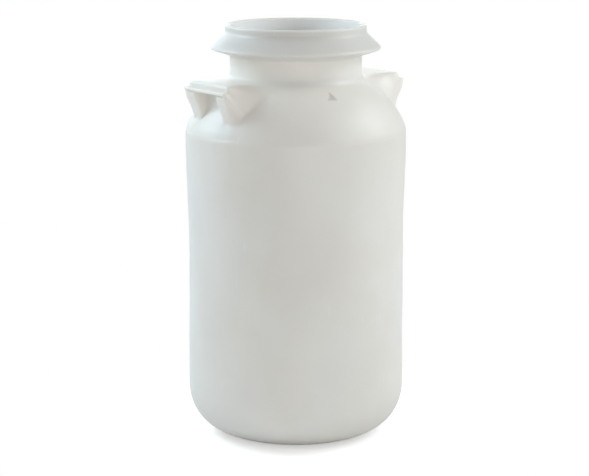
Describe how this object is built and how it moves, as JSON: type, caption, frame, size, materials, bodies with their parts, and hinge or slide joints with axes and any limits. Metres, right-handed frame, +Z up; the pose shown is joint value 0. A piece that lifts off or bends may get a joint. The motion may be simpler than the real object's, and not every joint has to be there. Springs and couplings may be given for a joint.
{
  "type": "plastic milk drum",
  "caption": "Tall round plastic milk drum with a waisted body, domed shoulder, open neck with a flared collar, and two moulded hand grips.",
  "frame": {"origin": "centre of the base, on the plane that the drum stands on", "axes": "+Z up along the drum's axis; the two hand grips face along +X and -X"},
  "size_m": [0.336, 0.336, 0.629],
  "materials": {
    "natural_plastic": "semi-matt natural polyethylene, slightly translucent"
  },
  "bodies": {
    "root": {"drum": "natural_plastic"}
  },
  "joints": []
}
